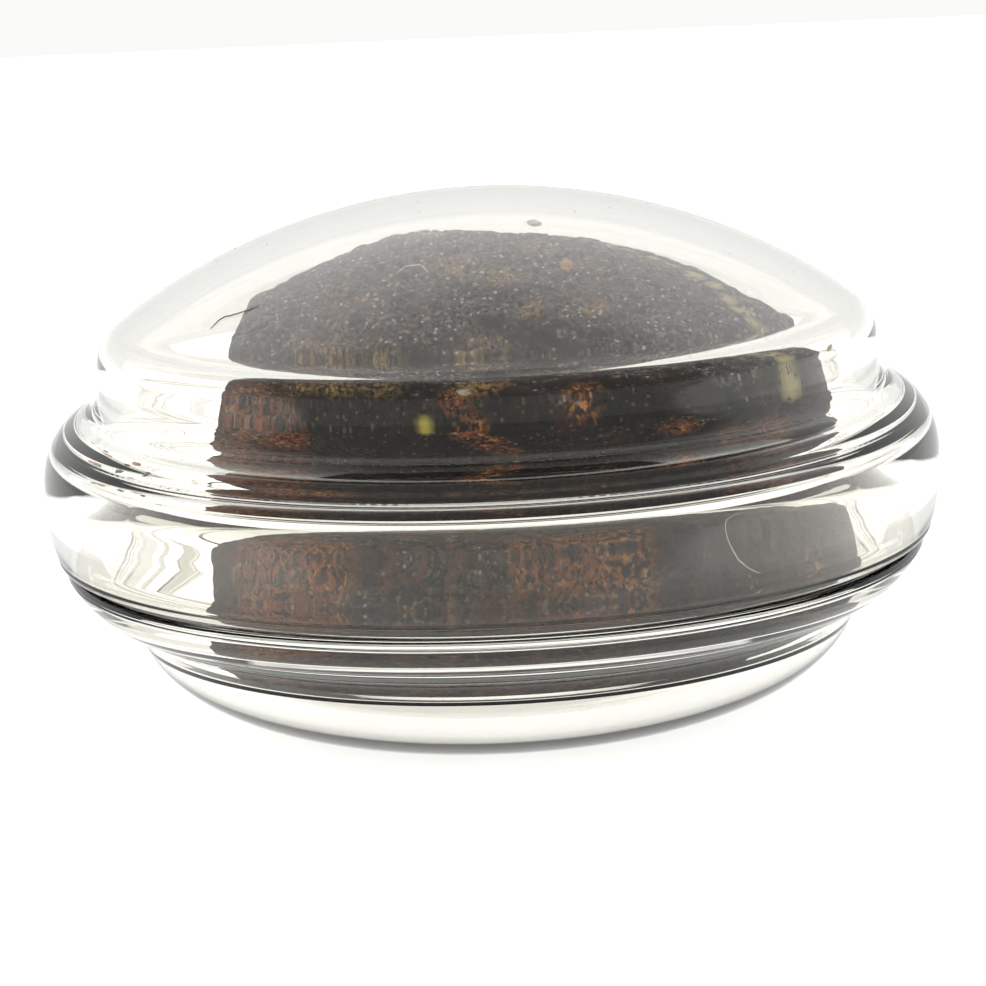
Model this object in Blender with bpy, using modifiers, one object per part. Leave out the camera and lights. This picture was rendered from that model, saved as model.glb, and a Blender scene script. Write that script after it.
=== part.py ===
"""Rough block of bow rosin in a clear two-part moulded case: a domed lid that pulls off a dished base."""

import math

import bmesh
import bpy
from mathutils import Vector, noise

MM = 0.001

# The closed case, as it stands on its foot. The wall and the waist are set in from the flange.
CASE_HEIGHT = 28.6 * MM
FLANGE_RADIUS = 25.0 * MM
WALL_INSET = 3.35 * MM
WAIST_INSET = 4.5 * MM
SHELL = 1.5 * MM

# Heights of the outline's turning points above the foot.
WALL_TOP = 20.0 * MM
SHOULDER_TOP = 17.7 * MM
FLANGE_TOP = 13.6 * MM
FLANGE_BOTTOM = 12.6 * MM
SEAM = 9.2 * MM
WAIST = 6.0 * MM

# Where the outline's bends run into each other, as angles on their arcs.
WALL_BEND_END = math.radians(255)
UPPER_SHOULDER_START = math.radians(70)
LOWER_SHOULDER_END = math.radians(-84)
INNER_SHOULDER_START = math.radians(-81)
BOWL_START = math.radians(-5)
INNER_BOWL_END = math.radians(-10)
WAIST_BEND_END = math.radians(98)

# Lid. The skirt is thicker than the shell, by this much at the flange.
SKIRT_EXTRA = 0.15 * MM
DOME_EDGE = 2.4 * MM
WALL_FILLET = 0.6 * MM
FILLET_RISE = 0.4 * MM
SHOULDER_INSET = 0.25 * MM

# Base. The spigot's rim stays under the lid's shoulder by the rim's room.
FOOT_RADIUS = 11.0 * MM
FLOOR = 1.6 * MM
RIM_ROOM = 1.45 * MM

# Fit of lid on base: play at the spigot and at the seam, and the two grip beads moulded on the spigot.
SPIGOT_PLAY = 0.3 * MM
SEAM_PLAY = 0.3 * MM
BEAD_PROUD = 0.15 * MM
BEAD_HEIGHT = 1.2 * MM
BEAD_ABOVE_SEAM = 0.9 * MM
BEAD_SWEEP = math.radians(125)
BEAD_MIDDLES = (math.radians(-90), math.radians(90))

# The rosin block: how far it stays from the case's side, dome and floor, and its broken faces.
CAKE_SIDE_PLAY = 0.6 * MM
CAKE_DOME_PLAY = 1.1 * MM
CAKE_REST_PLAY = 0.3 * MM
CAKE_ROUGHNESS = 0.35 * MM
CAKE_GRAIN = 3.0 * MM
CAKE_NOISE = (0.6, 2.1, 3)
# Each face: the way it looks (turn from +X and rise, in degrees) and its distance from the block's
# middle, given as a share of the free space around that middle: across for the sides, up for the rest.
CAKE_FACES = {
    "top": (0, 88, 0.91),
    "top_left": (180, 61, 1.08),
    "top_right": (0, 61, 0.93),
    "top_front": (-95, 52, 1.14),
    "top_back": (88, 50, 1.13),
    "left_upper": (178, 18, 0.86),
    "left": (184, 14, 0.895),
    "left_lower": (186, -13, 0.94),
    "right": (0, 8, 0.90),
    "right_upper": (2, 50, 1.00),
    "front": (-88, 4, 0.78),
    "front_left": (-131, 3, 0.84),
    "front_right": (-46, 2, 0.87),
    "back": (92, 2, 0.78),
    "back_left": (137, -2, 0.86),
    "back_right": (44, 3, 0.88),
    "under": (0, -88, 0.99),
    "under_left": (180, -62, 1.28),
    "under_right": (2, -72, 0.98),
    "under_front": (-92, -56, 1.20),
    "under_back": (90, -57, 1.20),
}
FACE_BLEND = 22
CAKE_MIDDLE_SHIFT = 1.3 * MM

# Chips lying against the block: turn, rise, size, all seen from the block's middle.
CHIP_GAP = 0.45 * MM
CHIPS = {
    "black_tipped_chip": (-52, 78, 1.3 * MM),
    "tan_chip": (-74, 44, 1.1 * MM),
    "pale_chip": (-99, 19, 1.1 * MM),
    "cream_chip": (-14, 15, 1.3 * MM),
}
CHIP_FLATNESS = 0.42
FRAGMENT_UNEVEN = 0.18
FRAGMENT_GRAIN = 1.3

# Crumbs: turn about the case's axis in degrees, and size.
RIM_CRUMBS = {
    "amber_crumb_rim": (206.7, 0.75 * MM),
    "dark_crumb_rim_1": (203.0, 0.42 * MM),
    "dark_crumb_rim_2": (213.9, 0.50 * MM),
    "dark_crumb_rim_3": (219.7, 0.40 * MM),
}
LID_CRUMBS = {
    "amber_crumb_lid": (216.0, 0.70 * MM),
    "dark_crumb_lid_1": (190.5, 0.45 * MM),
    "dark_crumb_lid_2": (196.5, 0.40 * MM),
    "dark_crumb_lid_3": (206.0, 0.38 * MM),
}
CRUMB_GAP = 0.3 * MM
CLING_RISE = math.radians(68)

# Fineness of the meshes.
TURN_STEPS = 48
ARC_STEP = math.radians(15)
ARC_LENGTH = 4.0 * MM
CAKE_DIVISIONS = 4
CHIP_DIVISIONS = 1
ROOM_HALVINGS = 12
MERGE = 0.01 * MM

WALL_RADIUS = FLANGE_RADIUS - WALL_INSET
WAIST_RADIUS = FLANGE_RADIUS - WAIST_INSET
SPIGOT_OUTER = FLANGE_RADIUS - SHELL - SKIRT_EXTRA - SPIGOT_PLAY
SPIGOT_INNER = SPIGOT_OUTER - SHELL
SHOULDER_MIDDLE = WALL_RADIUS - SHOULDER_INSET

# The dome is the sphere that meets the wall's rounded edge and reaches the case's height.
EDGE_MIDDLE = WALL_RADIUS - DOME_EDGE
DOME_RISE = CASE_HEIGHT - WALL_TOP
DOME_RADIUS = (EDGE_MIDDLE**2 + DOME_RISE**2 - DOME_EDGE**2) / (2 * (DOME_RISE - DOME_EDGE))
SPHERE_MIDDLE = CASE_HEIGHT - DOME_RADIUS
EDGE_ANGLE = math.atan2(WALL_TOP - SPHERE_MIDDLE, EDGE_MIDDLE)

# The lid's inner shoulder, straight above the middle of the spigot's rim.
RIM_SHARE = (SPIGOT_OUTER - SHELL / 2 - SHOULDER_MIDDLE) / (FLANGE_RADIUS - SHOULDER_MIDDLE - SHELL)
SHOULDER_ABOVE_RIM = FLANGE_TOP + (SHOULDER_TOP - FLANGE_TOP - SHELL) * math.sqrt(1 - RIM_SHARE**2)
SPIGOT_TOP = SHOULDER_ABOVE_RIM - RIM_ROOM


def arc(radius_at, height_at, across, up, start, end):
    """Points of an elliptical arc, given as (radius, height), from one angle to another."""
    length = abs(end - start) * max(across, up)
    count = max(2, math.ceil(abs(end - start) / ARC_STEP), math.ceil(length / ARC_LENGTH))
    turns = [start + (end - start) * i / count for i in range(count + 1)]
    return [(radius_at + across * math.cos(t), height_at + up * math.sin(t)) for t in turns]


def dome_and_wall(offset):
    """The lid from its top down to the shoulder. Offset 0 is the outside, SHELL the inside."""
    points = arc(0, SPHERE_MIDDLE, DOME_RADIUS - offset, DOME_RADIUS - offset, math.pi / 2, EDGE_ANGLE)
    points[0] = (0, CASE_HEIGHT - offset)
    edge = DOME_EDGE - offset
    points += arc(EDGE_MIDDLE, WALL_TOP, edge, edge, EDGE_ANGLE, 0)[1:]
    fillet = WALL_FILLET + offset
    bend = (WALL_RADIUS + WALL_FILLET, SHOULDER_TOP + FILLET_RISE)
    points += arc(*bend, fillet, fillet, math.pi, WALL_BEND_END)
    return points


def upper_shoulder(offset, end):
    """The bulge from the wall out to the flange."""
    across = FLANGE_RADIUS - SHOULDER_MIDDLE - offset
    up = SHOULDER_TOP - FLANGE_TOP - offset
    return arc(SHOULDER_MIDDLE, FLANGE_TOP, across, up, UPPER_SHOULDER_START, end)


def lower_shoulder(offset, start, end):
    """The bulge from the flange in to the waist."""
    across = FLANGE_RADIUS - WAIST_RADIUS - offset
    up = FLANGE_BOTTOM - WAIST - offset
    return arc(WAIST_RADIUS, FLANGE_BOTTOM, across, up, start, end)


def shoulder_angle_at(height):
    return -math.asin((FLANGE_BOTTOM - height) / (FLANGE_BOTTOM - WAIST))


def lid_inside():
    """Inner outline of the lid, from the mouth up to the top."""
    bore = SPIGOT_OUTER + SPIGOT_PLAY
    meeting = math.acos((bore - SHOULDER_MIDDLE) / (FLANGE_RADIUS - SHOULDER_MIDDLE - SHELL))
    points = dome_and_wall(SHELL) + upper_shoulder(SHELL, meeting)
    return [(bore, SEAM + SEAM_PLAY / 2)] + points[::-1]


def lid_outline():
    bottom = SEAM + SEAM_PLAY / 2
    outside = dome_and_wall(0) + upper_shoulder(0, 0)
    outside += lower_shoulder(0, 0, shoulder_angle_at(bottom))
    return outside + lid_inside()


def base_inside():
    """Inner outline of the base, from the middle of its floor up to the spigot."""
    across = WAIST_RADIUS - FOOT_RADIUS - FLOOR
    points = [(0, FLOOR)]
    points += arc(FOOT_RADIUS, WAIST, across, WAIST - FLOOR, -math.pi / 2, INNER_BOWL_END)
    turn = FLOOR + WALL_FILLET
    waist_turn = WAIST - WALL_FILLET
    points += arc(WAIST_RADIUS + WALL_FILLET, waist_turn, turn, turn, math.pi, WAIST_BEND_END)
    meeting = math.acos((SPIGOT_INNER - WAIST_RADIUS) / (FLANGE_RADIUS - WAIST_RADIUS - FLOOR))
    points += lower_shoulder(FLOOR, INNER_SHOULDER_START, -meeting)
    return points


def base_outline():
    ledge = SEAM - SEAM_PLAY / 2
    rim = SHELL / 2
    across = WAIST_RADIUS - FOOT_RADIUS
    outside = arc(SPIGOT_INNER + rim, SPIGOT_TOP - rim, rim, rim, math.pi, 0)
    outside += [(SPIGOT_OUTER, ledge)]
    outside += lower_shoulder(0, shoulder_angle_at(ledge), LOWER_SHOULDER_END)
    outside += arc(FOOT_RADIUS, WAIST, across, WAIST, BOWL_START, -math.pi / 2)
    return base_inside() + outside + [(0, 0)]


def free_radius(height):
    """Radius of the free space in the closed case at a height above the foot."""
    side = lid_inside() if height > SPIGOT_TOP else base_inside() + [(SPIGOT_INNER, SPIGOT_TOP)]
    reach = 0
    for (r0, z0), (r1, z1) in zip(side, side[1:]):
        low, high = sorted((z0, z1))
        if low <= height <= high and high > low:
            reach = max(reach, r0 + (r1 - r0) * (height - z0) / (z1 - z0))
    return reach


def material(name, colour, roughness, transmission=0.0):
    made = bpy.data.materials.new(name)
    made.use_nodes = True
    shader = made.node_tree.nodes["Principled BSDF"]
    shader.inputs["Base Color"].default_value = (*colour, 1)
    shader.inputs["Roughness"].default_value = roughness
    shader.inputs["Metallic"].default_value = 0
    shader.inputs["Transmission Weight"].default_value = transmission
    return made


def add_object(name, mesh, collection, finish):
    made = bpy.data.objects.new(name, mesh)
    collection.objects.link(made)
    mesh.materials.append(finish)
    return made


def turned(name, outline, collection, finish):
    """A solid of revolution about Z from an outline that starts and ends on the axis."""
    mesh = bpy.data.meshes.new(name)
    edges = [(i, i + 1) for i in range(len(outline) - 1)]
    mesh.from_pydata([(r, 0, z) for r, z in outline], edges, [])
    made = add_object(name, mesh, collection, finish)
    screw = made.modifiers.new("turn", "SCREW")
    screw.axis = "Z"
    screw.steps = TURN_STEPS
    screw.render_steps = TURN_STEPS
    screw.use_merge_vertices = True
    screw.merge_threshold = MERGE
    screw.use_smooth_shade = True
    return made


def grip_bead(middle, collection):
    """One raised arc on the spigot, as a solid that the base is joined with."""
    bm = bmesh.new()
    start = middle - BEAD_SWEEP / 2
    rise = SEAM + BEAD_ABOVE_SEAM
    root = SPIGOT_OUTER - BEAD_PROUD
    corners = arc(root, rise, 2 * BEAD_PROUD, BEAD_HEIGHT / 2, -math.pi / 2, math.pi / 2)
    ring = [bm.verts.new((r * math.cos(start), r * math.sin(start), z)) for r, z in corners]
    face = bm.faces.new(ring)
    geometry = [face, *face.edges, *face.verts]
    steps = round(TURN_STEPS * BEAD_SWEEP / math.tau)
    bmesh.ops.spin(bm, geom=geometry, axis=(0, 0, 1), cent=(0, 0, 0), angle=BEAD_SWEEP, steps=steps)
    bmesh.ops.recalc_face_normals(bm, faces=bm.faces[:])
    mesh = bpy.data.meshes.new("grip_bead")
    bm.to_mesh(mesh)
    bm.free()
    made = bpy.data.objects.new("grip_bead", mesh)
    made.hide_render = True
    made.display_type = "WIRE"
    collection.objects.link(made)
    return made


def add_base(collection, cutters, finish):
    made = turned("base", base_outline(), collection, finish)
    for middle in BEAD_MIDDLES:
        bead = grip_bead(middle, cutters)
        union = made.modifiers.new("bead", "BOOLEAN")
        union.operation = "UNION"
        union.object = bead
    return made


def looking(turn, rise):
    """Unit vector from its turn about Z, from +X, and its rise above level, in degrees."""
    across = math.cos(math.radians(rise))
    level = Vector((math.cos(math.radians(turn)), math.sin(math.radians(turn)), 0))
    return level * across + Vector((0, 0, math.sin(math.radians(rise))))


def cake_middle():
    low = FLOOR + CAKE_REST_PLAY
    high = CASE_HEIGHT - SHELL - CAKE_REST_PLAY
    return Vector((CAKE_MIDDLE_SHIFT, 0, (low + high) / 2))


def cake_reach(direction):
    """Distance from the block's middle to its surface in one direction."""
    middle = cake_middle()
    side = WALL_RADIUS - SHELL - CAKE_SIDE_PLAY
    up = (CASE_HEIGHT - SHELL - FLOOR) / 2 - CAKE_REST_PLAY
    nearness = 0
    for turn, rise, share in CAKE_FACES.values():
        towards = looking(turn, rise)
        tilt = math.radians(rise)
        distance = share * (side * math.cos(tilt) ** 2 + up * math.sin(tilt) ** 2)
        nearness += max(0, direction.dot(towards) / distance) ** FACE_BLEND
    reach = nearness ** (-1 / FACE_BLEND)
    reach += CAKE_ROUGHNESS * noise.fractal(direction * (reach / CAKE_GRAIN), *CAKE_NOISE)
    return min(reach, room_reach(middle, direction))


def room_reach(middle, direction):
    """How far the free space runs from the block's middle in one direction, less the play."""
    inner = 0
    outer = FLANGE_RADIUS
    for _ in range(ROOM_HALVINGS):
        trial = (inner + outer) / 2
        point = middle + direction * trial
        play = CAKE_DOME_PLAY if point.z > WALL_TOP else CAKE_SIDE_PLAY
        reach = math.hypot(point.x, point.y) + play
        heights = (point.z - CAKE_REST_PLAY, point.z, point.z + play)
        if heights[0] > FLOOR and reach < min(map(free_radius, heights)):
            inner = trial
        else:
            outer = trial
    return inner


def add_cake(collection, finish):
    bm = bmesh.new()
    bmesh.ops.create_icosphere(bm, subdivisions=CAKE_DIVISIONS, radius=1)
    middle = cake_middle()
    for vertex in bm.verts:
        direction = vertex.co.normalized()
        vertex.co = middle + direction * cake_reach(direction)
    mesh = bpy.data.meshes.new("rosin_cake")
    bm.to_mesh(mesh)
    bm.free()
    return add_object("rosin_cake", mesh, collection, finish)


def fragment(name, size, flatness, collection, finish):
    """A broken bit about its own origin: its widest reach is half its size."""
    bm = bmesh.new()
    bmesh.ops.create_icosphere(bm, subdivisions=CHIP_DIVISIONS, radius=1)
    seed = Vector((len(name), size / MM, sum(map(ord, name)) % 17))
    for vertex in bm.verts:
        uneven = 1 - FRAGMENT_UNEVEN * (1 - noise.noise(vertex.co * FRAGMENT_GRAIN + seed))
        vertex.co *= uneven * size / 2
        vertex.co.z *= flatness
    mesh = bpy.data.meshes.new(name)
    bm.to_mesh(mesh)
    bm.free()
    return add_object(name, mesh, collection, finish)


def add_chips(collection, finishes):
    for name, (turn, rise, size) in CHIPS.items():
        direction = looking(turn, rise)
        made = fragment(name, size, CHIP_FLATNESS, collection, finishes[name])
        stand = CHIP_GAP + size / 2 * CHIP_FLATNESS
        made.location = cake_middle() + direction * (cake_reach(direction) + stand)
        made.rotation_mode = "QUATERNION"
        made.rotation_quaternion = direction.to_track_quat("Z", "X")


def add_rim_crumbs(collection, finishes):
    for name, (turn, size) in RIM_CRUMBS.items():
        made = fragment(name, size, 1, collection, finishes[name.split("_")[0]])
        middle = looking(turn, 0) * (SPIGOT_INNER + SHELL / 2)
        made.location = middle + Vector((0, 0, SPIGOT_TOP + CRUMB_GAP + size / 2))


def add_lid_crumbs(collection, finishes):
    """Crumbs that cling by static to the inside of the lid's shoulder."""
    for name, (turn, size) in LID_CRUMBS.items():
        made = fragment(name, size, 1, collection, finishes[name.split("_")[0]])
        stand = SHELL + CRUMB_GAP + size / 2
        across = FLANGE_RADIUS - SHOULDER_MIDDLE - stand
        up = SHOULDER_TOP - FLANGE_TOP - stand
        radius = SHOULDER_MIDDLE + across * math.cos(CLING_RISE)
        made.location = looking(turn, 0) * radius + Vector((0, 0, FLANGE_TOP + up * math.sin(CLING_RISE)))


def main():
    for old in list(bpy.data.objects):
        bpy.data.objects.remove(old)
    parts = bpy.data.collections.new("rosin_cake_in_case")
    cutters = bpy.data.collections.new("cutters")
    for collection in (parts, cutters):
        bpy.context.scene.collection.children.link(collection)
    clear = material("clear_polystyrene", (0.93, 0.93, 0.91), 0.04, transmission=1)
    dark = material("dark_rosin", (0.035, 0.026, 0.022), 0.55)
    amber = material("amber_rosin", (0.55, 0.27, 0.05), 0.35)
    cream = material("powdery_rosin", (0.62, 0.50, 0.30), 0.8)
    turned("lid", lid_outline(), parts, clear)
    add_base(parts, cutters, clear)
    add_cake(parts, dark)
    chip_finishes = {
        "black_tipped_chip": cream,
        "tan_chip": amber,
        "pale_chip": cream,
        "cream_chip": cream,
    }
    add_chips(parts, chip_finishes)
    crumb_finishes = {"amber": amber, "dark": dark}
    add_rim_crumbs(parts, crumb_finishes)
    add_lid_crumbs(parts, crumb_finishes)


main()
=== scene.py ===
import math
import random

import bmesh
import bpy
import numpy as np
from mathutils import Matrix, Vector, noise
from mathutils.bvhtree import BVHTree


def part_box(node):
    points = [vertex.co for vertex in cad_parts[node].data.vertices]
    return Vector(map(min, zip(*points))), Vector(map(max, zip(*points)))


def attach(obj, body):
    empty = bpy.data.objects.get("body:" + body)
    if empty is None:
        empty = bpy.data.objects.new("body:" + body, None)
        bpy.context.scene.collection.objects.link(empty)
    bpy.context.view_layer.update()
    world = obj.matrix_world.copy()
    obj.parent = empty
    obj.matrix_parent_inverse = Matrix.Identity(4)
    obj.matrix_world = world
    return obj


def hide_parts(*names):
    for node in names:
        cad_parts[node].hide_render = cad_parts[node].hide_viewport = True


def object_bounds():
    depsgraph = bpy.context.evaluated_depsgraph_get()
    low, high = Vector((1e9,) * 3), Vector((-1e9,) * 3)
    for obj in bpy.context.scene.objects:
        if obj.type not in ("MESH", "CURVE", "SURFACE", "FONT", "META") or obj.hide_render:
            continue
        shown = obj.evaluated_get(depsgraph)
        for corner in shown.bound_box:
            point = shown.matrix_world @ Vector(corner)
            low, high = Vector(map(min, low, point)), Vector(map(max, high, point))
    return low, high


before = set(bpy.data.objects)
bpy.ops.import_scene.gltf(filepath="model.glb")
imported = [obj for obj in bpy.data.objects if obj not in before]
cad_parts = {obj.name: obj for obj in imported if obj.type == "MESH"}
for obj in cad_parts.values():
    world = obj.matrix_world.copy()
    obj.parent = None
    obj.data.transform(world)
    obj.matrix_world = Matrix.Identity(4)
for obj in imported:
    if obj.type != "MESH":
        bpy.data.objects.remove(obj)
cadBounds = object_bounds()

mm = 0.001
fullTurn = 2 * math.pi


def toLinear(hexColour):
    # sRGB hex to the linear colour that the shaders take
    parts = [int(hexColour[i : i + 2], 16) / 255 for i in (1, 3, 5)]
    return tuple(c / 12.92 if c <= 0.04045 else ((c + 0.055) / 1.055) ** 2.4 for c in parts) + (1,)


def addNode(tree, kind, settings=None, links=None):
    # one shader node: settings are its own properties, links are its inputs, plain or from another node
    made = tree.nodes.new(kind)
    for name, value in (settings or {}).items():
        setattr(made, name, value)
    for socket, value in (links or {}).items():
        if isinstance(value, bpy.types.NodeSocket):
            tree.links.new(value, made.inputs[socket])
        else:
            made.inputs[socket].default_value = value
    return made


def startMaterial(name):
    # an empty material, with the piece's own coordinates counted in millimetres
    made = bpy.data.materials.new(name)
    made.use_nodes = True
    tree = made.node_tree
    tree.nodes.clear()
    coords = addNode(tree, "ShaderNodeTexCoord")
    inputs = {0: coords.outputs["Object"], "Scale": 1 / mm}
    scaled = addNode(tree, "ShaderNodeVectorMath", {"operation": "SCALE"}, inputs)
    return made, tree, scaled.outputs[0]


def patches(tree, place, size, low, high, detail=3, stretch=(1, 1, 1)):
    # uneven patches about this many millimetres across: 0 where the noise is under low, 1 over high
    stretched = addNode(tree, "ShaderNodeVectorMath", {"operation": "MULTIPLY"}, {0: place, 1: stretch})
    inputs = {"Vector": stretched.outputs[0], "Scale": 1 / size, "Detail": detail, "Roughness": 0.62}
    pattern = addNode(tree, "ShaderNodeTexNoise", None, inputs)
    limits = {"Value": pattern.outputs[0], "From Min": low, "From Max": high}
    return addNode(tree, "ShaderNodeMapRange", {"interpolation_type": "SMOOTHSTEP"}, limits).outputs[0]


def marked(tree, name, pattern=None, most=1.0):
    # how far a mark painted on the mesh shows, broken up by a pattern
    share = addNode(tree, "ShaderNodeAttribute", {"attribute_name": name}).outputs["Fac"]
    inputs = {0: share, 1: most if pattern is None else pattern}
    share = addNode(tree, "ShaderNodeMath", {"operation": "MULTIPLY"}, inputs).outputs[0]
    if pattern is not None and most != 1.0:
        share = addNode(tree, "ShaderNodeMath", {"operation": "MULTIPLY"}, {0: share, 1: most}).outputs[0]
    return share


def layered(tree, ground, layers):
    # colours laid one over another, each where its share is high
    for hexColour, share in layers:
        inputs = {"Factor": share, "A": ground, "B": toLinear(hexColour)}
        ground = addNode(tree, "ShaderNodeMix", {"data_type": "RGBA"}, inputs).outputs["Result"]
    return ground


def finishMaterial(tree, inputs, height=None, rough=None):
    # a Principled surface, with a bump whose height is given in millimetres by rough
    if height is not None:
        bumpInputs = {"Strength": 1.0, "Distance": rough * mm, "Height": height}
        inputs = {**inputs, "Normal": addNode(tree, "ShaderNodeBump", None, bumpInputs).outputs[0]}
    shader = addNode(tree, "ShaderNodeBsdfPrincipled", None, inputs)
    addNode(tree, "ShaderNodeOutputMaterial", None, {"Surface": shader.outputs[0]})


def mirroredShare(tree):
    # 1 where a ray has come off the case's outer skin, less where it comes from inside its walls
    rays = addNode(tree, "ShaderNodeLightPath").outputs
    inputs = {0: rays["Transmission Depth"], 1: 0.5}
    outer = addNode(tree, "ShaderNodeMath", {"operation": "LESS_THAN"}, inputs).outputs[0]
    inputs = {"Value": outer, "To Min": worldSettings["innerShare"], "To Max": worldSettings["outerShare"]}
    strength = addNode(tree, "ShaderNodeMapRange", None, inputs).outputs[0]
    inputs = {0: rays["Glossy Depth"], 1: 1}
    once = addNode(tree, "ShaderNodeMath", {"operation": "MINIMUM"}, inputs).outputs[0]
    return addNode(tree, "ShaderNodeMath", {"operation": "MULTIPLY"}, {0: strength, 1: once}).outputs[0]


def finishPiece(piece, body, slot, finish, *nodes):
    piece.data.materials.append(finish)
    for polygon in piece.data.polygons:
        polygon.use_smooth = True
    if nodes:
        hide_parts(*nodes)
    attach(piece, body)
    if slot != "clear_case":
        rosinPieces.objects.link(piece)


def addPiece(name, bm):
    mesh = bpy.data.meshes.new(name)
    bm.to_mesh(mesh)
    bm.free()
    made = bpy.data.objects.new(name, mesh)
    bpy.context.scene.collection.objects.link(made)
    return made


print("camera and light")

cameraSettings = {
    "lens": 86.8,  # mm, on a 36 mm wide sensor
    "distance": 135.3 * mm,
    "rise": math.radians(11.56),  # above level
    "roll": math.radians(-2.5),
    "aim": Vector((0, 0, 11.25)) * mm,
}


def addCamera():
    data = bpy.data.cameras.new("camera")
    data.lens = cameraSettings["lens"]
    data.clip_start = 5 * mm
    camera = bpy.data.objects.new("camera", data)
    bpy.context.scene.collection.objects.link(camera)
    rise = cameraSettings["rise"]
    away = Vector((0, -math.cos(rise), math.sin(rise)))
    facing = away.to_track_quat("Z", "Y").to_matrix().to_4x4()
    facing = facing @ Matrix.Rotation(cameraSettings["roll"], 4, "Z")
    facing.translation = cameraSettings["aim"] + away * cameraSettings["distance"]
    camera.matrix_world = facing
    bpy.context.scene.camera = camera


addCamera()

lightSettings = {
    # name: place in metres, width in metres, power in watts
    "softboxAbove": ((-0.10, -0.06, 0.30), 0.16, 0.30),
    "softboxLeft": ((-0.30, -0.20, 0.14), 0.12, 0.16),
}
worldSettings = {
    "above": "#ffffff",
    "level": "#fafaf8",
    "mirrored": "#161618",  # the dark side of the room, behind the viewer, that the case mirrors
    "darkFrom": -0.10,
    "darkFull": 0.30,
    "overTop": 0.7,  # how far the dark side reaches over the top
    "narrow": 0.5,  # how fast it ends to the left and right
    "outerShare": 0.95,
    "innerShare": 0.25,
    "strength": 1.0,
}
floorSettings = {
    "radius": 3.0,
    "colour": "#fafaf8",
    "drop": 0.02,  # mm under the foot
    "fromBelow": 0.7,  # light that comes up through the board, so the foot stays bright
    "mirroredFront": "#2a2a2c",
    "frontEdge": 27,  # mm in front of the middle, where the mirrored floor starts to darken
    "frontFull": 45,
}
rosinPieces = bpy.data.collections.new("rosinPieces")  # what the two softboxes light


def addLights():
    middle = Vector((0, 0, 14 * mm))
    for name, (place, width, power) in lightSettings.items():
        data = bpy.data.lights.new(name, "AREA")
        data.shape = "DISK"
        data.size = width
        data.energy = power
        lamp = bpy.data.objects.new(name, data)
        lamp.location = place
        lamp.rotation_mode = "QUATERNION"
        lamp.rotation_quaternion = (Vector(place) - middle).to_track_quat("Z", "Y")
        lamp.light_linking.receiver_collection = rosinPieces
        bpy.context.scene.collection.objects.link(lamp)


def darkShare(tree, vector, overTop, low, high):
    # how dark the room is for a mirrored ray: nothing at one distance to the front, full at the next
    folded = addNode(tree, "ShaderNodeVectorMath", {"operation": "ABSOLUTE"}, {0: vector}).outputs[0]
    inputs = {0: folded, 1: (-worldSettings["narrow"], 0, 0)}
    sideways = addNode(tree, "ShaderNodeVectorMath", {"operation": "DOT_PRODUCT"}, inputs).outputs["Value"]
    inputs = {0: vector, 1: (0, -1, overTop)}
    nearer = addNode(tree, "ShaderNodeVectorMath", {"operation": "DOT_PRODUCT"}, inputs).outputs["Value"]
    nearer = addNode(tree, "ShaderNodeMath", {"operation": "ADD"}, {0: nearer, 1: sideways}).outputs[0]
    inputs = {"Value": nearer, "From Min": low, "From Max": high}
    soft = addNode(tree, "ShaderNodeMapRange", {"interpolation_type": "SMOOTHSTEP"}, inputs).outputs[0]
    inputs = {0: soft, 1: mirroredShare(tree)}
    return addNode(tree, "ShaderNodeMath", {"operation": "MULTIPLY"}, inputs).outputs[0]


def addWorld():
    # a pale room all round; what mirrors the viewer's side sees it dim, as behind a dark card
    world = bpy.data.worlds.new("paleRoom")
    bpy.context.scene.world = world
    world.use_nodes = True
    tree = world.node_tree
    tree.nodes.clear()
    direction = addNode(tree, "ShaderNodeTexCoord").outputs["Generated"]
    split = addNode(tree, "ShaderNodeSeparateXYZ", None, {0: direction}).outputs
    inputs = {"Value": split["Z"], "From Min": 0.0, "From Max": 0.6}
    high = addNode(tree, "ShaderNodeMapRange", {"interpolation_type": "SMOOTHSTEP"}, inputs).outputs[0]
    limits = (worldSettings[name] for name in ("overTop", "darkFrom", "darkFull"))
    dark = darkShare(tree, direction, *limits)
    layers = [(worldSettings["above"], high), (worldSettings["mirrored"], dark)]
    colour = layered(tree, toLinear(worldSettings["level"]), layers)
    inputs = {"Color": colour, "Strength": worldSettings["strength"]}
    glow = addNode(tree, "ShaderNodeBackground", None, inputs)
    addNode(tree, "ShaderNodeOutputWorld", None, {"Surface": glow.outputs[0]})


def addFloor():
    bm = bmesh.new()
    bmesh.ops.create_grid(bm, x_segments=8, y_segments=8, size=floorSettings["radius"])
    floor = addPiece("paleFloor", bm)
    made, tree, place = startMaterial("paleMattBoard")
    dark = darkShare(tree, place, 0, floorSettings["frontEdge"], floorSettings["frontFull"])
    layers = [("#fdfdfc", patches(tree, place, 9, 0.2, 0.8)), (floorSettings["mirroredFront"], dark)]
    colour = layered(tree, toLinear(floorSettings["colour"]), layers)
    inputs = {
        "Base Color": colour,
        "Roughness": 0.9,
        "Emission Color": colour,
        "Emission Strength": floorSettings["fromBelow"],
    }
    finishMaterial(tree, inputs)
    floor.data.materials.append(made)
    floor.location.z = -floorSettings["drop"] * mm


addLights()
addWorld()
addFloor()
bpy.context.scene.view_settings.view_transform = "Standard"

print("case")

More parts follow.
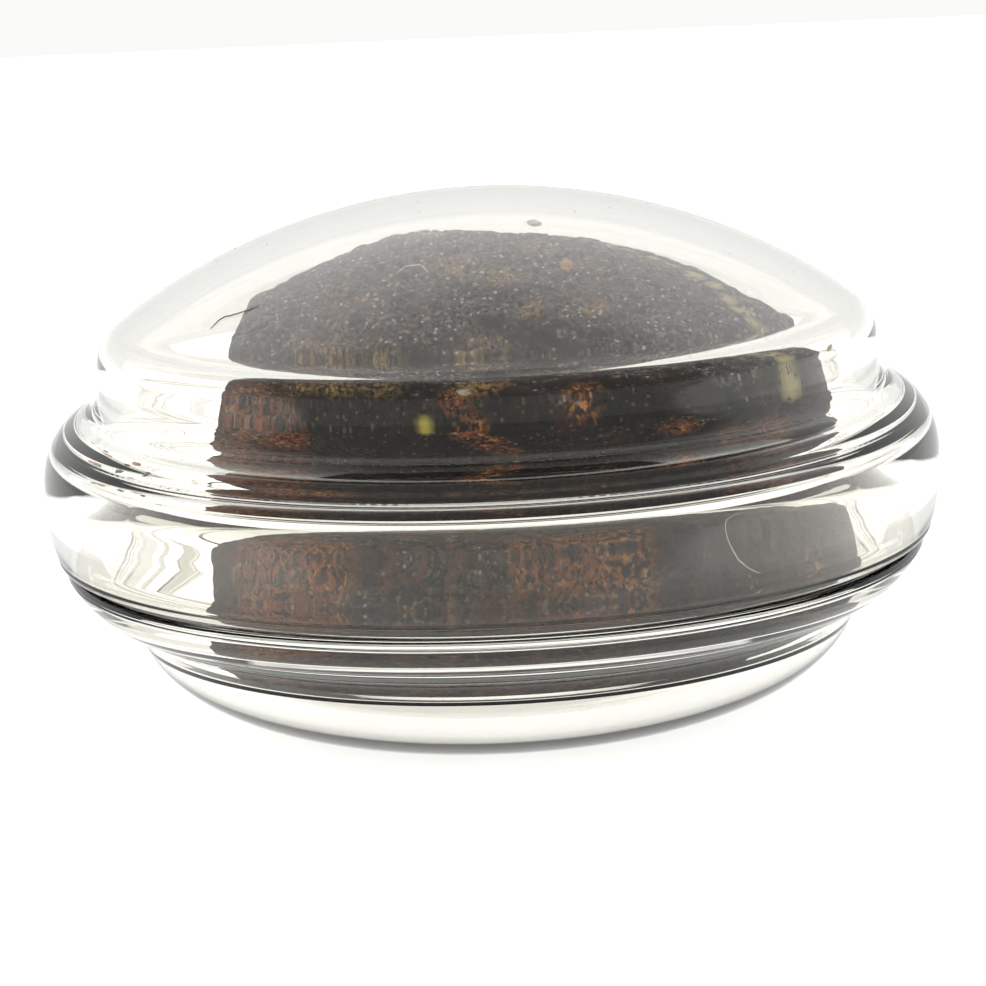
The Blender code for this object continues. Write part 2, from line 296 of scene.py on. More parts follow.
# Every size of the case in millimetres; its height and its widest radius come from the frame.
caseSizes = {
    "wallInset": 3.35,
    "waistInset": 4.5,
    "shell": 1.5,
    "wallTop": 20.0,
    "shoulderTop": 17.7,
    "flangeTop": 13.6,
    "flangeBottom": 12.6,
    "seam": 9.2,
    "waist": 6.0,
    "skirtExtra": 0.15,
    "domeEdge": 2.4,
    "wallFillet": 1.3,
    "innerFillet": 3.2,  # the soft bend inside the lid, from its wall to its shoulder
    "boreTop": 15.2,
    "boreRound": 0.8,
    "rimRound": 1.5,  # how far down the spigot's rounded rim reaches
    "shoulderInset": 0.25,
    "footRadius": 11.0,
    "floor": 1.6,
    "spigotPlay": 0.3,
    "seamPlay": 0.3,
    "beadProud": 0.15,
    "beadHeight": 1.2,
    "beadAboveSeam": 0.9,
    "beadSweep": math.radians(125),
    "cornerRound": 0.4,
    "mostBounces": 6.5,  # of light inside a wall, before it leaves through it
    "dustDepth": 0.1,
    "dustAboveWall": 1.2,
    "dustVeil": 0.07,  # share of light that the dust on the dome stops
}
meshFineness = {
    "turnSteps": 288,
    "arcStep": math.radians(6),
    "arcLength": 0.4,  # mm along an arc, at most
    "straightStep": 0.6,
}

flange = cadBounds[1].x / mm
caseHeight = cadBounds[1].z / mm
size = caseSizes
wall = flange - size["wallInset"]
waist = flange - size["waistInset"]
spigotOuter = flange - size["shell"] - size["skirtExtra"] - size["spigotPlay"]
spigotInner = spigotOuter - size["shell"]
bore = spigotOuter + size["spigotPlay"]
shoulderMiddle = wall - size["shoulderInset"]
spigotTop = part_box("base")[1].z / mm

# The dome is the sphere that meets the wall's rounded edge and reaches the case's height.
edgeMiddle = wall - size["domeEdge"]
domeRise = caseHeight - size["wallTop"]
domeRadius = edgeMiddle**2 + domeRise**2 - size["domeEdge"] ** 2
domeRadius /= 2 * (domeRise - size["domeEdge"])
sphereMiddle = caseHeight - domeRadius
edgeAngle = math.atan2(size["wallTop"] - sphereMiddle, edgeMiddle)


def arc(radiusAt, heightAt, across, up, start, end):
    # points of an elliptical arc as (radius, height), from one angle to another
    turned = abs(end - start)
    length = turned * max(across, up)
    byAngle = math.ceil(turned / meshFineness["arcStep"])
    byLength = math.ceil(length / meshFineness["arcLength"])
    count = max(byAngle, byLength)
    turns = [start + (end - start) * i / count for i in range(count + 1)]
    return [(radiusAt + across * math.cos(t), heightAt + up * math.sin(t)) for t in turns]


def straights(points):
    # the same outline with its long straight runs cut into short steps
    out = [points[0]]
    for (r0, z0), (r1, z1) in zip(points, points[1:]):
        count = max(1, math.ceil(math.hypot(r1 - r0, z1 - z0) / meshFineness["straightStep"]))
        out += [(r0 + (r1 - r0) * i / count, z0 + (z1 - z0) * i / count) for i in range(1, count + 1)]
    return out


def bendIntoShoulder(offset, radius):
    # the bend that leaves the wall and lands smoothly on the shoulder: its middle, the angle it turns
    # to, and the angle on the shoulder's ellipse where it lands
    across = flange - shoulderMiddle - offset
    up = size["shoulderTop"] - size["flangeTop"] - offset
    bendMiddle = wall - offset + radius
    low, high = math.radians(5), math.radians(88)
    for _ in range(50):
        landing = (low + high) / 2
        facing = Vector((math.cos(landing) / across, math.sin(landing) / up)).normalized()
        reached = shoulderMiddle + across * math.cos(landing) + radius * facing.x
        if reached > bendMiddle:
            low = landing
        else:
            high = landing
    height = size["flangeTop"] + up * math.sin(landing) + radius * facing.y
    turned = math.pi + math.atan2(facing.y, facing.x)
    return (bendMiddle, height), turned, landing


def domeToFlange(offset, radius, end):
    # the lid's skin from the top of its dome down to an angle on its shoulder
    points = arc(0, sphereMiddle, domeRadius - offset, domeRadius - offset, math.pi / 2, edgeAngle)
    points[0] = (0, caseHeight - offset)
    edge = size["domeEdge"] - offset
    points += arc(edgeMiddle, size["wallTop"], edge, edge, edgeAngle, 0)[1:]
    middle, turned, landing = bendIntoShoulder(offset, radius)
    points += arc(*middle, radius, radius, math.pi, turned)
    across = flange - shoulderMiddle - offset
    up = size["shoulderTop"] - size["flangeTop"] - offset
    return points + arc(shoulderMiddle, size["flangeTop"], across, up, landing, end)[1:]


def lowerShoulder(offset, start, end):
    across = flange - waist - offset
    up = size["flangeBottom"] - size["waist"] - offset
    return arc(waist, size["flangeBottom"], across, up, start, end)


def shoulderAngle(height):
    return -math.asin((size["flangeBottom"] - height) / (size["flangeBottom"] - size["waist"]))


def lidOutline():
    turn = size["cornerRound"]
    bottom = size["seam"] + size["seamPlay"] / 2
    skirt = lowerShoulder(0, 0, shoulderAngle(bottom + turn))
    points = domeToFlange(0, size["wallFillet"], 0) + skirt
    points += arc(skirt[-1][0] - turn, bottom + turn, turn, turn, 0, -math.pi / 2)
    points += arc(bore + turn, bottom + turn, turn, turn, -math.pi / 2, -math.pi)
    # the socket for the spigot ends in a small rounded stop, and the smooth inside starts above it
    stop = size["boreRound"]
    points += arc(bore - stop, size["boreTop"] - stop, stop, stop, 0, math.pi / 2)
    inside = domeToFlange(size["shell"], size["innerFillet"], 0)
    inside = [point for point in inside if point[1] > size["boreTop"] and point[0] < bore - stop]
    return straights(points + inside[::-1])


def baseOutline():
    turn = size["cornerRound"]
    floor = size["floor"]
    ledge = size["seam"] - size["seamPlay"] / 2
    rim = size["shell"] / 2
    across = waist - size["footRadius"]
    points = [(0, floor)]
    up = size["waist"] - floor
    points += arc(size["footRadius"], size["waist"], across - floor, up, -math.pi / 2, math.radians(-10))
    bend = floor + size["wallFillet"]
    middle = (waist + size["wallFillet"], size["waist"] - size["wallFillet"])
    points += arc(*middle, bend, bend, math.pi, math.radians(98))
    meeting = math.acos((spigotInner - waist) / (flange - waist - floor))
    points += lowerShoulder(floor, math.radians(-81), -meeting)
    points += arc(spigotInner + rim, spigotTop - size["rimRound"], rim, size["rimRound"], math.pi, 0)
    points += arc(spigotOuter + turn, ledge + turn, turn, turn, math.pi, 1.5 * math.pi)
    skirt = lowerShoulder(0, shoulderAngle(ledge - turn), math.radians(-84))
    points += arc(skirt[0][0] - turn, ledge - turn, turn, turn, math.pi / 2, 0)
    points += skirt
    points += arc(size["footRadius"], size["waist"], across, size["waist"], math.radians(-5), -math.pi / 2)
    return straights(points + [(0, 0)])


def beadSwell(radius, height, turn):
    # how far the two grip beads stand out of the spigot here
    beadMiddle = size["seam"] + size["beadAboveSeam"]
    if abs(radius - spigotOuter) > 0.01 or abs(height - beadMiddle) > size["beadHeight"] / 2:
        return 0
    upShare = (height - beadMiddle) / (size["beadHeight"] / 2)
    offMiddle = abs(math.remainder(turn + math.pi / 2, math.pi))
    pastEnd = (offMiddle - size["beadSweep"] / 2) * spigotOuter / (size["beadHeight"] / 2) + 1
    share = 1 - upShare**2 - max(0, pastEnd) ** 2
    return size["beadProud"] * math.sqrt(max(0, share))


def turnOnAxis(name, outline, swell=None):
    # a solid of revolution about Z, from an outline in millimetres that starts and ends on the axis
    steps = meshFineness["turnSteps"]
    bm = bmesh.new()
    rings = []
    for radius, height in outline:
        if radius == 0:
            rings.append([bm.verts.new((0, 0, height * mm))] * steps)
            continue
        ring = []
        for i in range(steps):
            turn = fullTurn * i / steps
            reach = (radius + (swell(radius, height, turn) if swell else 0)) * mm
            ring.append(bm.verts.new((reach * math.cos(turn), reach * math.sin(turn), height * mm)))
        rings.append(ring)
    for low, high in zip(rings, rings[1:]):
        for i in range(steps):
            j = (i + 1) % steps
            corners = dict.fromkeys((low[i], low[j], high[j], high[i]))
            bm.faces.new(list(corners))
    bmesh.ops.recalc_face_normals(bm, faces=bm.faces[:])
    return addPiece(name, bm)


def clearPolystyrene(name, through):
    # crystal polystyrene, injection moulded in a polished tool: water clear with a faint warm tint in the
    # thick rims, mirror smooth, with hairline scuffs from handling that catch the light. The dome's is
    # veiled by a film of rosin dust, which lets a little less through
    made, tree, place = startMaterial(name)
    along = patches(tree, place, 0.5, 0.68, 0.75, 3, (0.10, 1.3, 0.35))
    across = patches(tree, place, 0.5, 0.70, 0.77, 3, (1.2, 0.15, 0.30))
    scuffs = addNode(tree, "ShaderNodeMath", {"operation": "MAXIMUM"}, {0: along, 1: across}).outputs[0]
    inputs = {"Value": scuffs, "To Min": 0.012, "To Max": 0.14}
    roughness = addNode(tree, "ShaderNodeMapRange", None, inputs)
    inputs = {
        "Base Color": toLinear("#fbfaf6"),
        "Roughness": roughness.outputs[0],
        "IOR": 1.59,
        "Specular Tint": toLinear("#c4c4c4"),  # the dust film eats some of the glare
        "Transmission Weight": through,
    }
    shader = addNode(tree, "ShaderNodeBsdfPrincipled", None, inputs)
    # lamps shine through to the rosin, and light trapped in a wall for long gets out of it
    rays = addNode(tree, "ShaderNodeLightPath").outputs
    inputs = {0: rays["Ray Depth"], 1: caseSizes["mostBounces"]}
    trapped = addNode(tree, "ShaderNodeMath", {"operation": "GREATER_THAN"}, inputs).outputs[0]
    inputs = {0: rays["Is Shadow Ray"], 1: trapped}
    through = addNode(tree, "ShaderNodeMath", {"operation": "MAXIMUM"}, inputs).outputs[0]
    clear = addNode(tree, "ShaderNodeBsdfTransparent", None, {"Color": toLinear("#f6f6f2")})
    inputs = {0: through, 1: shader.outputs[0], 2: clear.outputs[0]}
    mixed = addNode(tree, "ShaderNodeMixShader", None, inputs)
    addNode(tree, "ShaderNodeOutputMaterial", None, {"Surface": mixed.outputs[0]})
    return made


caseFinish = clearPolystyrene("mouldedClearPolystyrene", 1.0)
clearLid = turnOnAxis("clearLid", lidOutline())
finishPiece(clearLid, "lid", "clear_case", caseFinish, "lid")
# the dust lies only on the dome's outer skin
clearLid.data.materials.append(clearPolystyrene("dustyClearPolystyrene", 1 - caseSizes["dustVeil"]))
for polygon in clearLid.data.polygons:
    place = polygon.center / mm
    outer = (place - Vector((0, 0, sphereMiddle))).length > domeRadius - size["dustDepth"]
    polygon.material_index = int(outer and place.z > size["wallTop"] + size["dustAboveWall"])
finishPiece(turnOnAxis("clearBase", baseOutline(), beadSwell), "base", "clear_case", caseFinish, "base")

print("rosin block")

blockShape = {
    "cuts": 118,  # of a cube's edge, before it is blown up to the block
    "lumps": (1.7, 0.36),  # size across and height, both in mm
    "grit": (0.5, 0.16),
    "pits": (0.9, 0.42),
    "mostProud": 0.15,
    "crustGrit": (3, 0.1),  # lumps per mm, and their height in mm
    "calm": 0.75,  # how far the smooth marks flatten the break
    "plainGrit": 0.6,  # share of grit and of pits where the break isn't porous
    "plainPits": 0.15,
    "pitRim": 0.5,  # of the pits' spacing
    "dustAndTopLightFrom": 0.25,  # upward part of a face's normal where the dust and the painted top light start, and over how much they fill
    "dustAndTopLightSpan": 0.5,
    "markCore": 1.6,  # how far the full middle of a mark reaches, and how fast its edge fades
    "markFade": 1.2,
    # where the break bulges past the block's own form: middle, reach and height, all in mm
    "bulges": [(-4.5, 1.5, 25.4, 7.0, 0.6), (-8.5, -11.5, 4.0, 5.5, 0.35)],
}
# Marks on the block, each given as its middle and its radius in mm.
blockMarks = {
    "crust": [
        (4.5, -2.2, 25.9, 0.5), (5.6, -2.5, 25.6, 0.5), (6.7, -2.9, 25.2, 0.55),
        (7.8, -3.2, 24.9, 0.5), (9.0, -3.7, 24.4, 0.55), (10.1, -4.2, 23.9, 0.5),
        (11.2, -4.8, 23.4, 0.55), (12.2, -5.6, 22.8, 0.5), (12.8, -6.7, 22.2, 0.5),
        (13.3, -7.7, 21.6, 0.6), (13.7, -8.5, 21.0, 0.5), (14.4, -8.9, 20.3, 0.6),
        (15.0, -9.3, 19.4, 0.7), (15.4, -9.7, 18.6, 0.9),
    ],
    # tan crumbs pressed into the top; where the marks run along the top's front edge, the tan is also a
    # painted highlight
    "tan": [
        (-1.4, -8.4, 24.6, 1.5), (0.9, -9.8, 24.1, 1.3), (5.3, -12.4, 22.7, 0.8),
        (-0.4, -14.7, 20.6, 1.4), (-2.8, -1.0, 25.8, 1.2), (2.2, -12.9, 22.4, 0.9),
        (3.0, -5.6, 25.6, 1.2), (-9.6, -12.2, 20.6, 1.2), (-7.6, -13.3, 20.6, 1.3),
        (-5.2, -14.2, 20.6, 1.2),
    ],
    "rust": [
        (-12.4, -9.3, 18.0, 2.6), (-14.2, -7.8, 13.5, 3.0), (-10.4, -11.4, 17.0, 1.6),
        (-1.6, -15.0, 19.2, 0.8), (-1.0, -15.2, 17.7, 0.9), (0.0, -15.3, 16.3, 0.9),
        (0.9, -15.3, 15.0, 0.8), (14.6, -10.7, 14.7, 1.5), (12.5, -12.6, 14.9, 1.0),
        (9.4, -14.1, 16.8, 1.1), (-11.4, -11.0, 10.0, 3.0), (-8.6, -13.0, 10.6, 1.8),
        (3.6, -15.3, 10.6, 1.2), (5.2, -15.3, 10.6, 1.2), (6.8, -15.2, 10.5, 1.2),
        (1.6, -15.5, 10.8, 1.0), (4.6, -14.9, 19.0, 1.0), (15.4, -8.0, 9.0, 1.8),
    ],
    "porous": [
        (-4.0, -13.5, 10.0, 4.0), (3.0, -14.0, 10.0, 4.0), (-12.6, -8.6, 15.0, 5.0),
        (-11.4, -11.0, 10.0, 4.0), (-9.0, -10.5, 4.5, 5.0), (-2.0, -14.0, 4.0, 4.5),
        (5.0, -14.2, 4.5, 4.0), (13.5, -10.5, 13.5, 3.5), (-6.0, -9.0, 23.0, 5.0),
        (6.0, -8.5, 23.8, 5.0), (0.0, 0.0, 25.5, 7.0),
    ],
    "glow": [
        (-9.2, -11.0, 4.6, 1.3), (-7.6, -12.6, 5.8, 1.0), (-4.4, -14.6, 6.4, 0.8),
        (-10.8, -9.6, 3.4, 1.1), (-5.6, -12.4, 3.2, 0.9), (0.6, -14.8, 5.4, 0.8),
    ],
    # the smooth marks are the glassy clean break on the front faces, which lie in shadow: their near-black
    # colour is painted shade as well as the break's own dark
    "smooth": [
        (-6.4, -14.2, 17.2, 3.2), (-4.3, -15.0, 14.6, 3.0), (3.2, -15.3, 13.6, 2.6),
        (9.8, -14.4, 12.2, 3.0),
    ],
    "dot": [
        (-3.2, -15.2, 18.2, 0.34),
    ],
}


def blownCube(cuts):
    # a cube with a fine grid on each side, blown up to a ball of radius 1 with even squares
    bm = bmesh.new()
    bmesh.ops.create_cube(bm, size=2)
    bmesh.ops.subdivide_edges(bm, edges=bm.edges[:], cuts=cuts, use_grid_fill=True)
    for vertex in bm.verts:
        spread = Vector([math.tan(c * math.pi / 4) for c in vertex.co])
        vertex.co = spread.normalized()
    return bm


def nodeSurface(node):
    # the frame's solid: its middle, and the distance from that middle to its skin in any direction
    low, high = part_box(node)
    middle = (low + high) / 2
    bm = bmesh.new()
    bm.from_mesh(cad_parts[node].data)
    tree = BVHTree.FromBMesh(bm)
    bm.free()

    def reach(direction):
        return tree.ray_cast(middle, direction)[3]

    return middle, reach


def markShares(places, marks):
    # how strongly each place lies inside a set of marks, from 0 to 1, soft at their edges
    shares = np.zeros(len(places))
    for x, y, z, radius in marks:
        away = np.linalg.norm(places - (x, y, z), axis=1) / radius
        inside = np.clip(blockShape["markCore"] - blockShape["markFade"] * away, 0, 1)
        shares = np.maximum(shares, inside)
    return shares


def brokenHeight(place, porous, smooth):
    # height of the broken surface over the block's own form, in mm, at a place in mm
    lumpSize, lumpHeight = blockShape["lumps"]
    gritSize, gritHeight = blockShape["grit"]
    pitSize, pitDepth = blockShape["pits"]
    calm = 1 - blockShape["calm"] * smooth
    height = lumpHeight * calm * noise.fractal(place / lumpSize, 0.8, 2.0, 3)
    height += gritHeight * calm * (blockShape["plainGrit"] + porous) * noise.noise(place / gritSize)
    near = noise.voronoi(place / pitSize)[0]
    rim = blockShape["pitRim"]
    return height - pitDepth * (blockShape["plainPits"] + porous) * calm * max(0, rim - near[0]) / rim


def addBlock():
    middle, reach = nodeSurface("rosin_cake")
    bm = blownCube(blockShape["cuts"])
    directions = [vertex.co.copy() for vertex in bm.verts]
    distances = [reach(direction) for direction in directions]
    skin = np.array([(middle + d * r) / mm for d, r in zip(directions, distances)])
    shares = {name: markShares(skin, marks) for name, marks in blockMarks.items()}
    layers = {name: bm.verts.layers.float.new(name) for name in blockMarks}
    bulges = np.zeros(len(skin))
    for x, y, z, radius, height in blockShape["bulges"]:
        away = np.clip(1 - np.linalg.norm(skin - (x, y, z), axis=1) / radius, 0, 1)
        bulges += height * away**2 * (3 - 2 * away)
    crustDense, crustHeight = blockShape["crustGrit"]
    for i, vertex in enumerate(bm.verts):
        place = Vector(skin[i])
        height = brokenHeight(place, shares["porous"][i], shares["smooth"][i])
        height = min(height, blockShape["mostProud"])
        height += crustHeight * shares["crust"][i] * noise.noise(place * crustDense)
        vertex.co = middle + directions[i] * (distances[i] + (height + bulges[i]) * mm)
        for name, layer in layers.items():
            vertex[layer] = shares[name][i]
    # what faces up has gathered dust, and is painted paler as if lit from above
    bmesh.ops.recalc_face_normals(bm, faces=bm.faces[:])
    bm.normal_update()
    dust = bm.verts.layers.float.new("dust")
    for vertex in bm.verts:
        share = (vertex.normal.z - blockShape["dustAndTopLightFrom"]) / blockShape["dustAndTopLightSpan"]
        vertex[dust] = max(0, min(1, share))
    return addPiece("rosinBlock", bm)


def brokenRosin():
    # dark bow rosin, cast and broken: glassy where the break is clean, near black there with painted shade
    # on the front faces, porous and brown where it foamed, with tan crumbs pressed in and a painted
    # highlight along the top's front edge, a yellowed crust along one edge, and dust on top with painted
    # top light and painted sparkles
    made, tree, place = startMaterial("brokenDarkRosin")
    fine = patches(tree, place, 0.34, 0.44, 0.60, 5)
    coarse = patches(tree, place, 1.3, 0.44, 0.62, 4)
    sparse = patches(tree, place, 0.42, 0.56, 0.66, 5)
    cells = addNode(tree, "ShaderNodeTexVoronoi", None, {"Vector": place, "Scale": 1 / 0.34})
    inside = {"Value": cells.outputs["Distance"], "From Min": 0.34, "From Max": 0.16}
    speck = addNode(tree, "ShaderNodeMapRange", None, inside).outputs[0]
    chance = addNode(tree, "ShaderNodeSeparateColor", None, {0: cells.outputs["Color"]}).outputs
    inputs = {0: chance[0], 1: 0.62}
    chosen = addNode(tree, "ShaderNodeMath", {"operation": "GREATER_THAN"}, inputs).outputs[0]
    inputs = {0: speck, 1: chosen}
    specks = addNode(tree, "ShaderNodeMath", {"operation": "MULTIPLY"}, inputs).outputs[0]
    inputs = {0: specks, 1: 0.28}
    faintSpecks = addNode(tree, "ShaderNodeMath", {"operation": "MULTIPLY"}, inputs).outputs[0]
    ground = layered(
        tree,
        toLinear("#120f0e"),
        [
            ("#2e1f17", patches(tree, place, 2.0, 0.42, 0.60, 4)),
            ("#654026", marked(tree, "porous", coarse, 0.9)),
            ("#93552a", marked(tree, "rust", fine, 1.0)),
            ("#c98a4a", marked(tree, "rust", sparse, 1.0)),
            ("#7d7358", marked(tree, "porous", sparse, 0.7)),
            # painted shade: near black on the smooth front faces, which lie in shadow, over the glassy
            # break's own dark
            ("#060505", marked(tree, "smooth", None, 0.8)),
            # the dust on the upward faces, painted paler grey as well for the light from above: partly
            # dust, partly painted top light
            ("#68616a", marked(tree, "dust", patches(tree, place, 0.24, 0.44, 0.58, 5), 0.85)),
            ("#a08d72", marked(tree, "dust", sparse, 0.85)),
            # tan crumbs, and a painted highlight along the top's front edge
            ("#b8935c", marked(tree, "tan", patches(tree, place, 0.3, 0.40, 0.66, 5, (1, 1, 0.45)), 0.75)),
            ("#b4682a", marked(tree, "glow", fine, 1.0)),
            ("#cbbd88", marked(tree, "crust", patches(tree, place, 0.6, 0.30, 0.48, 4), 1.0)),
            ("#c9bb5c", marked(tree, "dot")),
            # painted sparkles: white specks among the dust on the upward faces
            ("#d3cfc8", marked(tree, "dust", specks, 0.9)),
            ("#9c8468", faintSpecks),
        ],
    )
    shine = marked(tree, "smooth", None, 1.0)
    inputs = {"Value": shine, "To Min": 0.66, "To Max": 0.38}
    roughness = addNode(tree, "ShaderNodeMapRange", None, inputs)
    inputs = {
        "Base Color": ground,
        "Roughness": roughness.outputs[0],
        "IOR": 1.54,
        "Specular IOR Level": 0.16,  # a porous break gives back little of the room
    }
    finishMaterial(tree, inputs, patches(tree, place, 0.3, 0.2, 0.8, 4), 0.25)
    return made


finishPiece(addBlock(), "cake", "dark_rosin", brokenRosin(), "rosin_cake")

print("chips and crumbs")

fragmentSettings = {
    "cuts": 17,
    "uneven": 0.16,  # of a fragment's own radius
    "grain": 2.6,  # lumps across a fragment's radius
    "tipAt": Vector((-0.45, -0.2, 0.85)),  # the way to a chip's dark tip, and where it starts
    "tipFrom": 0.55,
    "tipSpan": 0.2,
}
# piece: node, body, slot, and its finish
fragments = {
    "blackTippedChip": ("black_tipped_chip", "cake", "pale_rosin", "tipped"),
    "tanChip": ("tan_chip", "cake", "amber_rosin", "tan"),
    "paleChip": ("pale_chip", "cake", "pale_rosin", "pale"),
    "creamChip": ("cream_chip", "cake", "pale_rosin", "cream"),
    "amberCrumbRim": ("amber_crumb_rim", "base", "amber_rosin", "amber"),
    "amberCrumbLid": ("amber_crumb_lid", "lid", "amber_rosin", "amber"),
    "darkCrumbRim1": ("dark_crumb_rim_1", "base", "dark_rosin", "dark"),
    "darkCrumbRim2": ("dark_crumb_rim_2", "base", "dark_rosin", "dark"),
    "darkCrumbRim3": ("dark_crumb_rim_3", "base", "dark_rosin", "dark"),
    "darkCrumbLid1": ("dark_crumb_lid_1", "lid", "dark_rosin", "dark"),
    "darkCrumbLid2": ("dark_crumb_lid_2", "lid", "dark_rosin", "dark"),
    "darkCrumbLid3": ("dark_crumb_lid_3", "lid", "dark_rosin", "dark"),
}
# finish: material name, ground colour, two colours over it, and how much light passes through it
fragmentFinishes = {
    "tipped": ("chippedPinkRosin", "#b39a86", "#8f7562", "#d6c4b0", 0.15),
    "tan": ("chippedTanRosin", "#a9793f", "#6f4a26", "#cfa468", 0.2),
    "pale": ("chippedPaleRosin", "#a3a28c", "#6f6a55", "#c08a55", 0.2),
    "cream": ("chippedCreamRosin", "#d3c48c", "#a88f55", "#e6dcb4", 0.15),
    "amber": ("crumbledAmberRosin", "#b8752c", "#7c4516", "#dda35a", 0.4),
    "dark": ("crumbledDarkRosin", "#2a1c14", "#120c09", "#5a3c24", 0.1),
}


def addFragment(name, node):
    # a broken crumb: facets knocked off the frame's own rounded shape, never outside it
    middle, reach = nodeSurface(node)
    bm = blownCube(fragmentSettings["cuts"])
    tip = bm.verts.layers.float.new("tip")
    seed = Vector((len(name) * 1.7, sum(map(ord, name)) * 0.013, 0.5))
    for vertex in bm.verts:
        direction = vertex.co.copy()
        broken = noise.voronoi(direction * fragmentSettings["grain"] * 0.6 + seed)[0]
        soft = (1 + noise.noise(direction * fragmentSettings["grain"] + seed)) / 2
        uneven = 0.6 * (broken[1] - broken[0]) + 0.4 * soft
        share = 1 - fragmentSettings["uneven"] * max(0, 1 - uneven)
        vertex.co = middle + direction * reach(direction) * min(1, share)
        toTip = direction.dot(fragmentSettings["tipAt"]) - fragmentSettings["tipFrom"]
        share = toTip / fragmentSettings["tipSpan"]
        vertex[tip] = max(0, min(1, share))
    bmesh.ops.recalc_face_normals(bm, faces=bm.faces[:])
    return addPiece(name, bm)


def brokenFragment(kind):
    # a translucent crumb of rosin: a dull, dusty skin, with deeper colour where the break is fresh
    name, ground, deep, bright, through = fragmentFinishes[kind]
    made, tree, place = startMaterial(name)
    layers = [
        (deep, patches(tree, place, 0.3, 0.45, 0.62, 4)),
        (bright, patches(tree, place, 0.22, 0.55, 0.68, 4)),
    ]
    if kind == "tipped":
        layers.append(("#1a1513", marked(tree, "tip")))
    colour = layered(tree, toLinear(ground), layers)
    inputs = {
        "Base Color": colour,
        "Roughness": 0.45,
        "IOR": 1.54,
        "Subsurface Weight": through,
        "Subsurface Radius": (0.5, 0.25, 0.1),
        "Subsurface Scale": 0.6 * mm,
    }
    finishMaterial(tree, inputs, patches(tree, place, 0.12, 0.2, 0.8, 3), 0.05)
    return made


fragmentMaterials = {kind: brokenFragment(kind) for kind in fragmentFinishes}
for name, (node, body, slot, kind) in fragments.items():
    finishPiece(addFragment(name, node), body, slot, fragmentMaterials[kind], node)

print("hair, fibres and dust")

# piece: body, points it runs through in mm, thickness in mm, and its finish
strands = {
    "darkHair": (
        "lid",
        [
            (-13.9, -13.2, 23.02), (-13.3, -12.75, 23.5), (-12.4, -13.05, 23.74), (-11.4, -13.1, 24.07),
        ],
        0.07,
        "hair",
    ),
    "looseLoop": (
        "base",
        [
            (-17.9, -2.6, 14.6), (-18.0, -2.9, 15.7), (-17.4, -3.1, 16.5), (-16.9, -2.7, 16.0),
            (-17.2, -2.3, 15.2), (-18.2, -2.2, 15.4),
        ],
        0.05,
        "fibre",
    ),
    "whiteFibre": (
        "cake",
        [
            (-4.4, -9.4, 24.35), (-3.9, -9.0, 24.62), (-3.2, -9.1, 24.66), (-2.8, -9.7, 24.4),
        ],
        0.07,
        "fibre",
    ),
    "paleFibre": (
        "cake",
        [
            (11.3, -14.0, 11.6), (11.6, -14.15, 10.9), (12.2, -13.95, 10.3), (12.9, -13.5, 9.9),
        ],
        0.045,
        "fibre",
    ),
}
# finish: material name, ground colour and a lighter or darker one over it
strandFinishes = {
    "hair": ("bowHair", "#3a2f28", "#6a5a4a"),
    "fibre": ("clothFibre", "#d8d4c8", "#b4ac9c"),
}
strandShape = {
    "sides": 8,
    "stepsPerPoint": 12,
    "kinks": 5,  # per mm
    "kinkSize": 0.5,  # of the thickness
    "endWidth": 0.35,  # of the full width
}


def curvePoint(points, share):
    # a smooth line through the points, from 0 at the first to 1 at the last
    along = share * (len(points) - 1)
    i = min(int(along), len(points) - 2)
    t = along - i
    p0, p1, p2, p3 = (Vector(points[max(0, min(len(points) - 1, i + k))]) for k in (-1, 0, 1, 2))
    bend = (2 * p0 - 5 * p1 + 4 * p2 - p3) * t * t + (3 * p1 - 3 * p2 + p3 - p0) * t**3
    return (2 * p1 + (p2 - p0) * t + bend) / 2


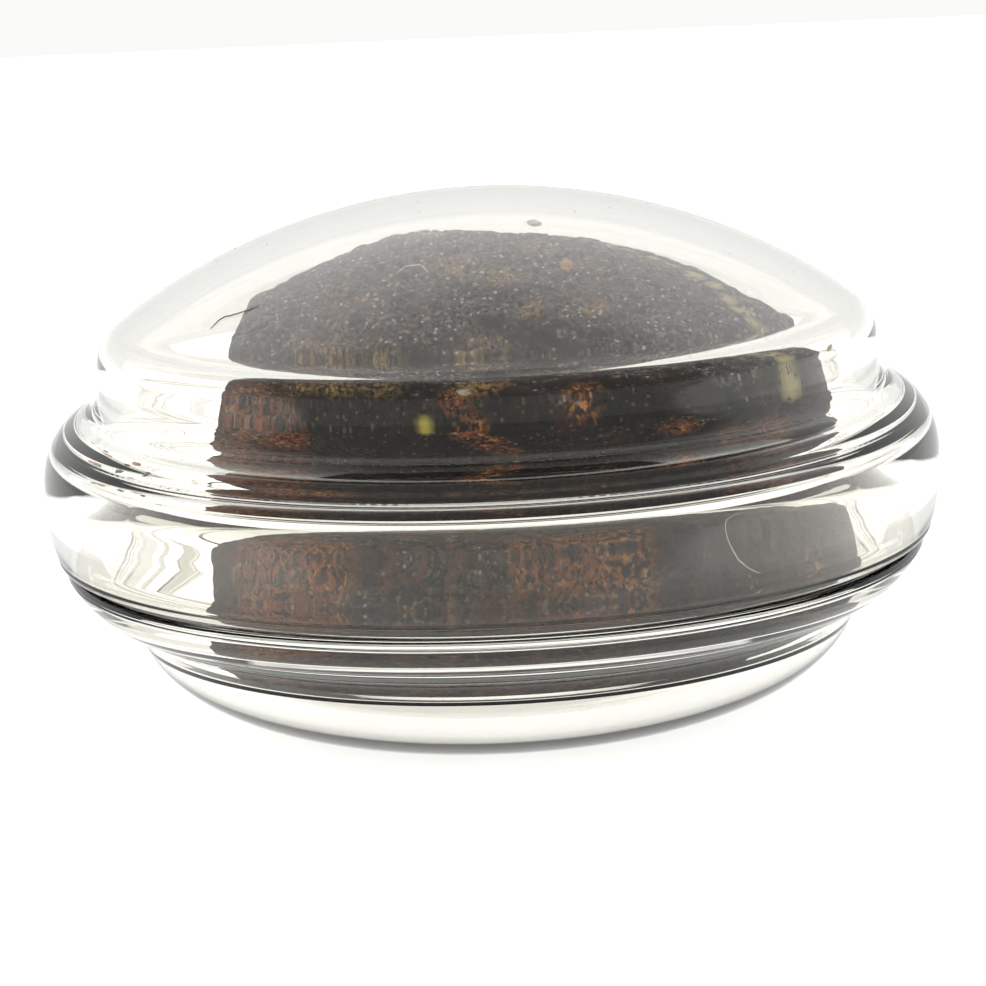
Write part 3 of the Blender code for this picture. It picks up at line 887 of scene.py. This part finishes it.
def addStrand(name, points, thickness):
    # a thin round strand, thinner at its ends, with small kinks
    steps = strandShape["stepsPerPoint"] * len(points)
    sides = strandShape["sides"]
    endWidth = strandShape["endWidth"]
    bm = bmesh.new()
    rings = []
    for i in range(steps + 1):
        share = i / steps
        here = curvePoint(points, share)
        ahead = curvePoint(points, min(1, share + 0.01)) - curvePoint(points, max(0, share - 0.01))
        turn = ahead.to_track_quat("Z", "Y")
        kinkAt = here * strandShape["kinks"]
        kink = Vector((noise.noise(kinkAt), noise.noise(kinkAt + Vector((9, 0, 0))), 0))
        kink *= thickness * strandShape["kinkSize"]
        taper = math.sin(math.pi * min(1, max(0, share))) ** 0.5
        radius = thickness / 2 * (endWidth + (1 - endWidth) * taper)
        ring = []
        for j in range(sides):
            angle = fullTurn * j / sides
            outward = radius * Vector((math.cos(angle), math.sin(angle), 0))
            ring.append(bm.verts.new((here + turn @ (kink + outward)) * mm))
        rings.append(ring)
    for low, high in zip(rings, rings[1:]):
        for j in range(sides):
            k = (j + 1) % sides
            bm.faces.new((low[j], low[k], high[k], high[j]))
    bm.faces.new(rings[0][::-1])
    bm.faces.new(rings[-1])
    return addPiece(name, bm)


def strandFinish(name, ground, lighter):
    # a dry strand: dull, paler in short lengths where it has worn
    made, tree, place = startMaterial(name)
    colour = layered(tree, toLinear(ground), [(lighter, patches(tree, place, 0.4, 0.4, 0.6))])
    inputs = {"Base Color": colour, "Roughness": 0.6}
    finishMaterial(tree, inputs, patches(tree, place, 0.1, 0.2, 0.8), 0.01)
    return made


strandMaterials = {kind: strandFinish(*facts) for kind, facts in strandFinishes.items()}
for name, (body, points, thickness, kind) in strands.items():
    slot = "dark_rosin" if kind == "hair" else "pale_rosin"
    finishPiece(addStrand(name, points, thickness), body, slot, strandMaterials[kind])

dustSettings = {
    "count": 170,
    "least": 0.02,  # mm
    "most": 0.055,
    "reach": 20.5,
    "inward": 0.9,
    "form": (1.6, 1, 0.5, 1),  # a grain's length, width and height for its size
    "seed": 11,
}


def addDust(name):
    # grains of rosin dust lying on the lid's dome
    random.seed(dustSettings["seed"])
    bm = bmesh.new()
    for _ in range(dustSettings["count"]):
        radius = dustSettings["reach"] * math.sqrt(random.random()) * dustSettings["inward"]
        turn = random.random() * fullTurn
        height = sphereMiddle + math.sqrt(domeRadius**2 - radius**2)
        spread = dustSettings["most"] - dustSettings["least"]
        grain = dustSettings["least"] + spread * random.random() ** 3
        place = Vector((radius * math.cos(turn), radius * math.sin(turn), height)) * mm
        place = Matrix.Translation(place)
        spin = Matrix.Rotation(random.random() * fullTurn, 4, "Z") @ Matrix.Diagonal(dustSettings["form"])
        bmesh.ops.create_icosphere(bm, subdivisions=1, radius=grain * mm, matrix=place @ spin)
    return addPiece(name, bm)


finishPiece(addDust("domeDust"), "lid", "pale_rosin", strandMaterials["fibre"])
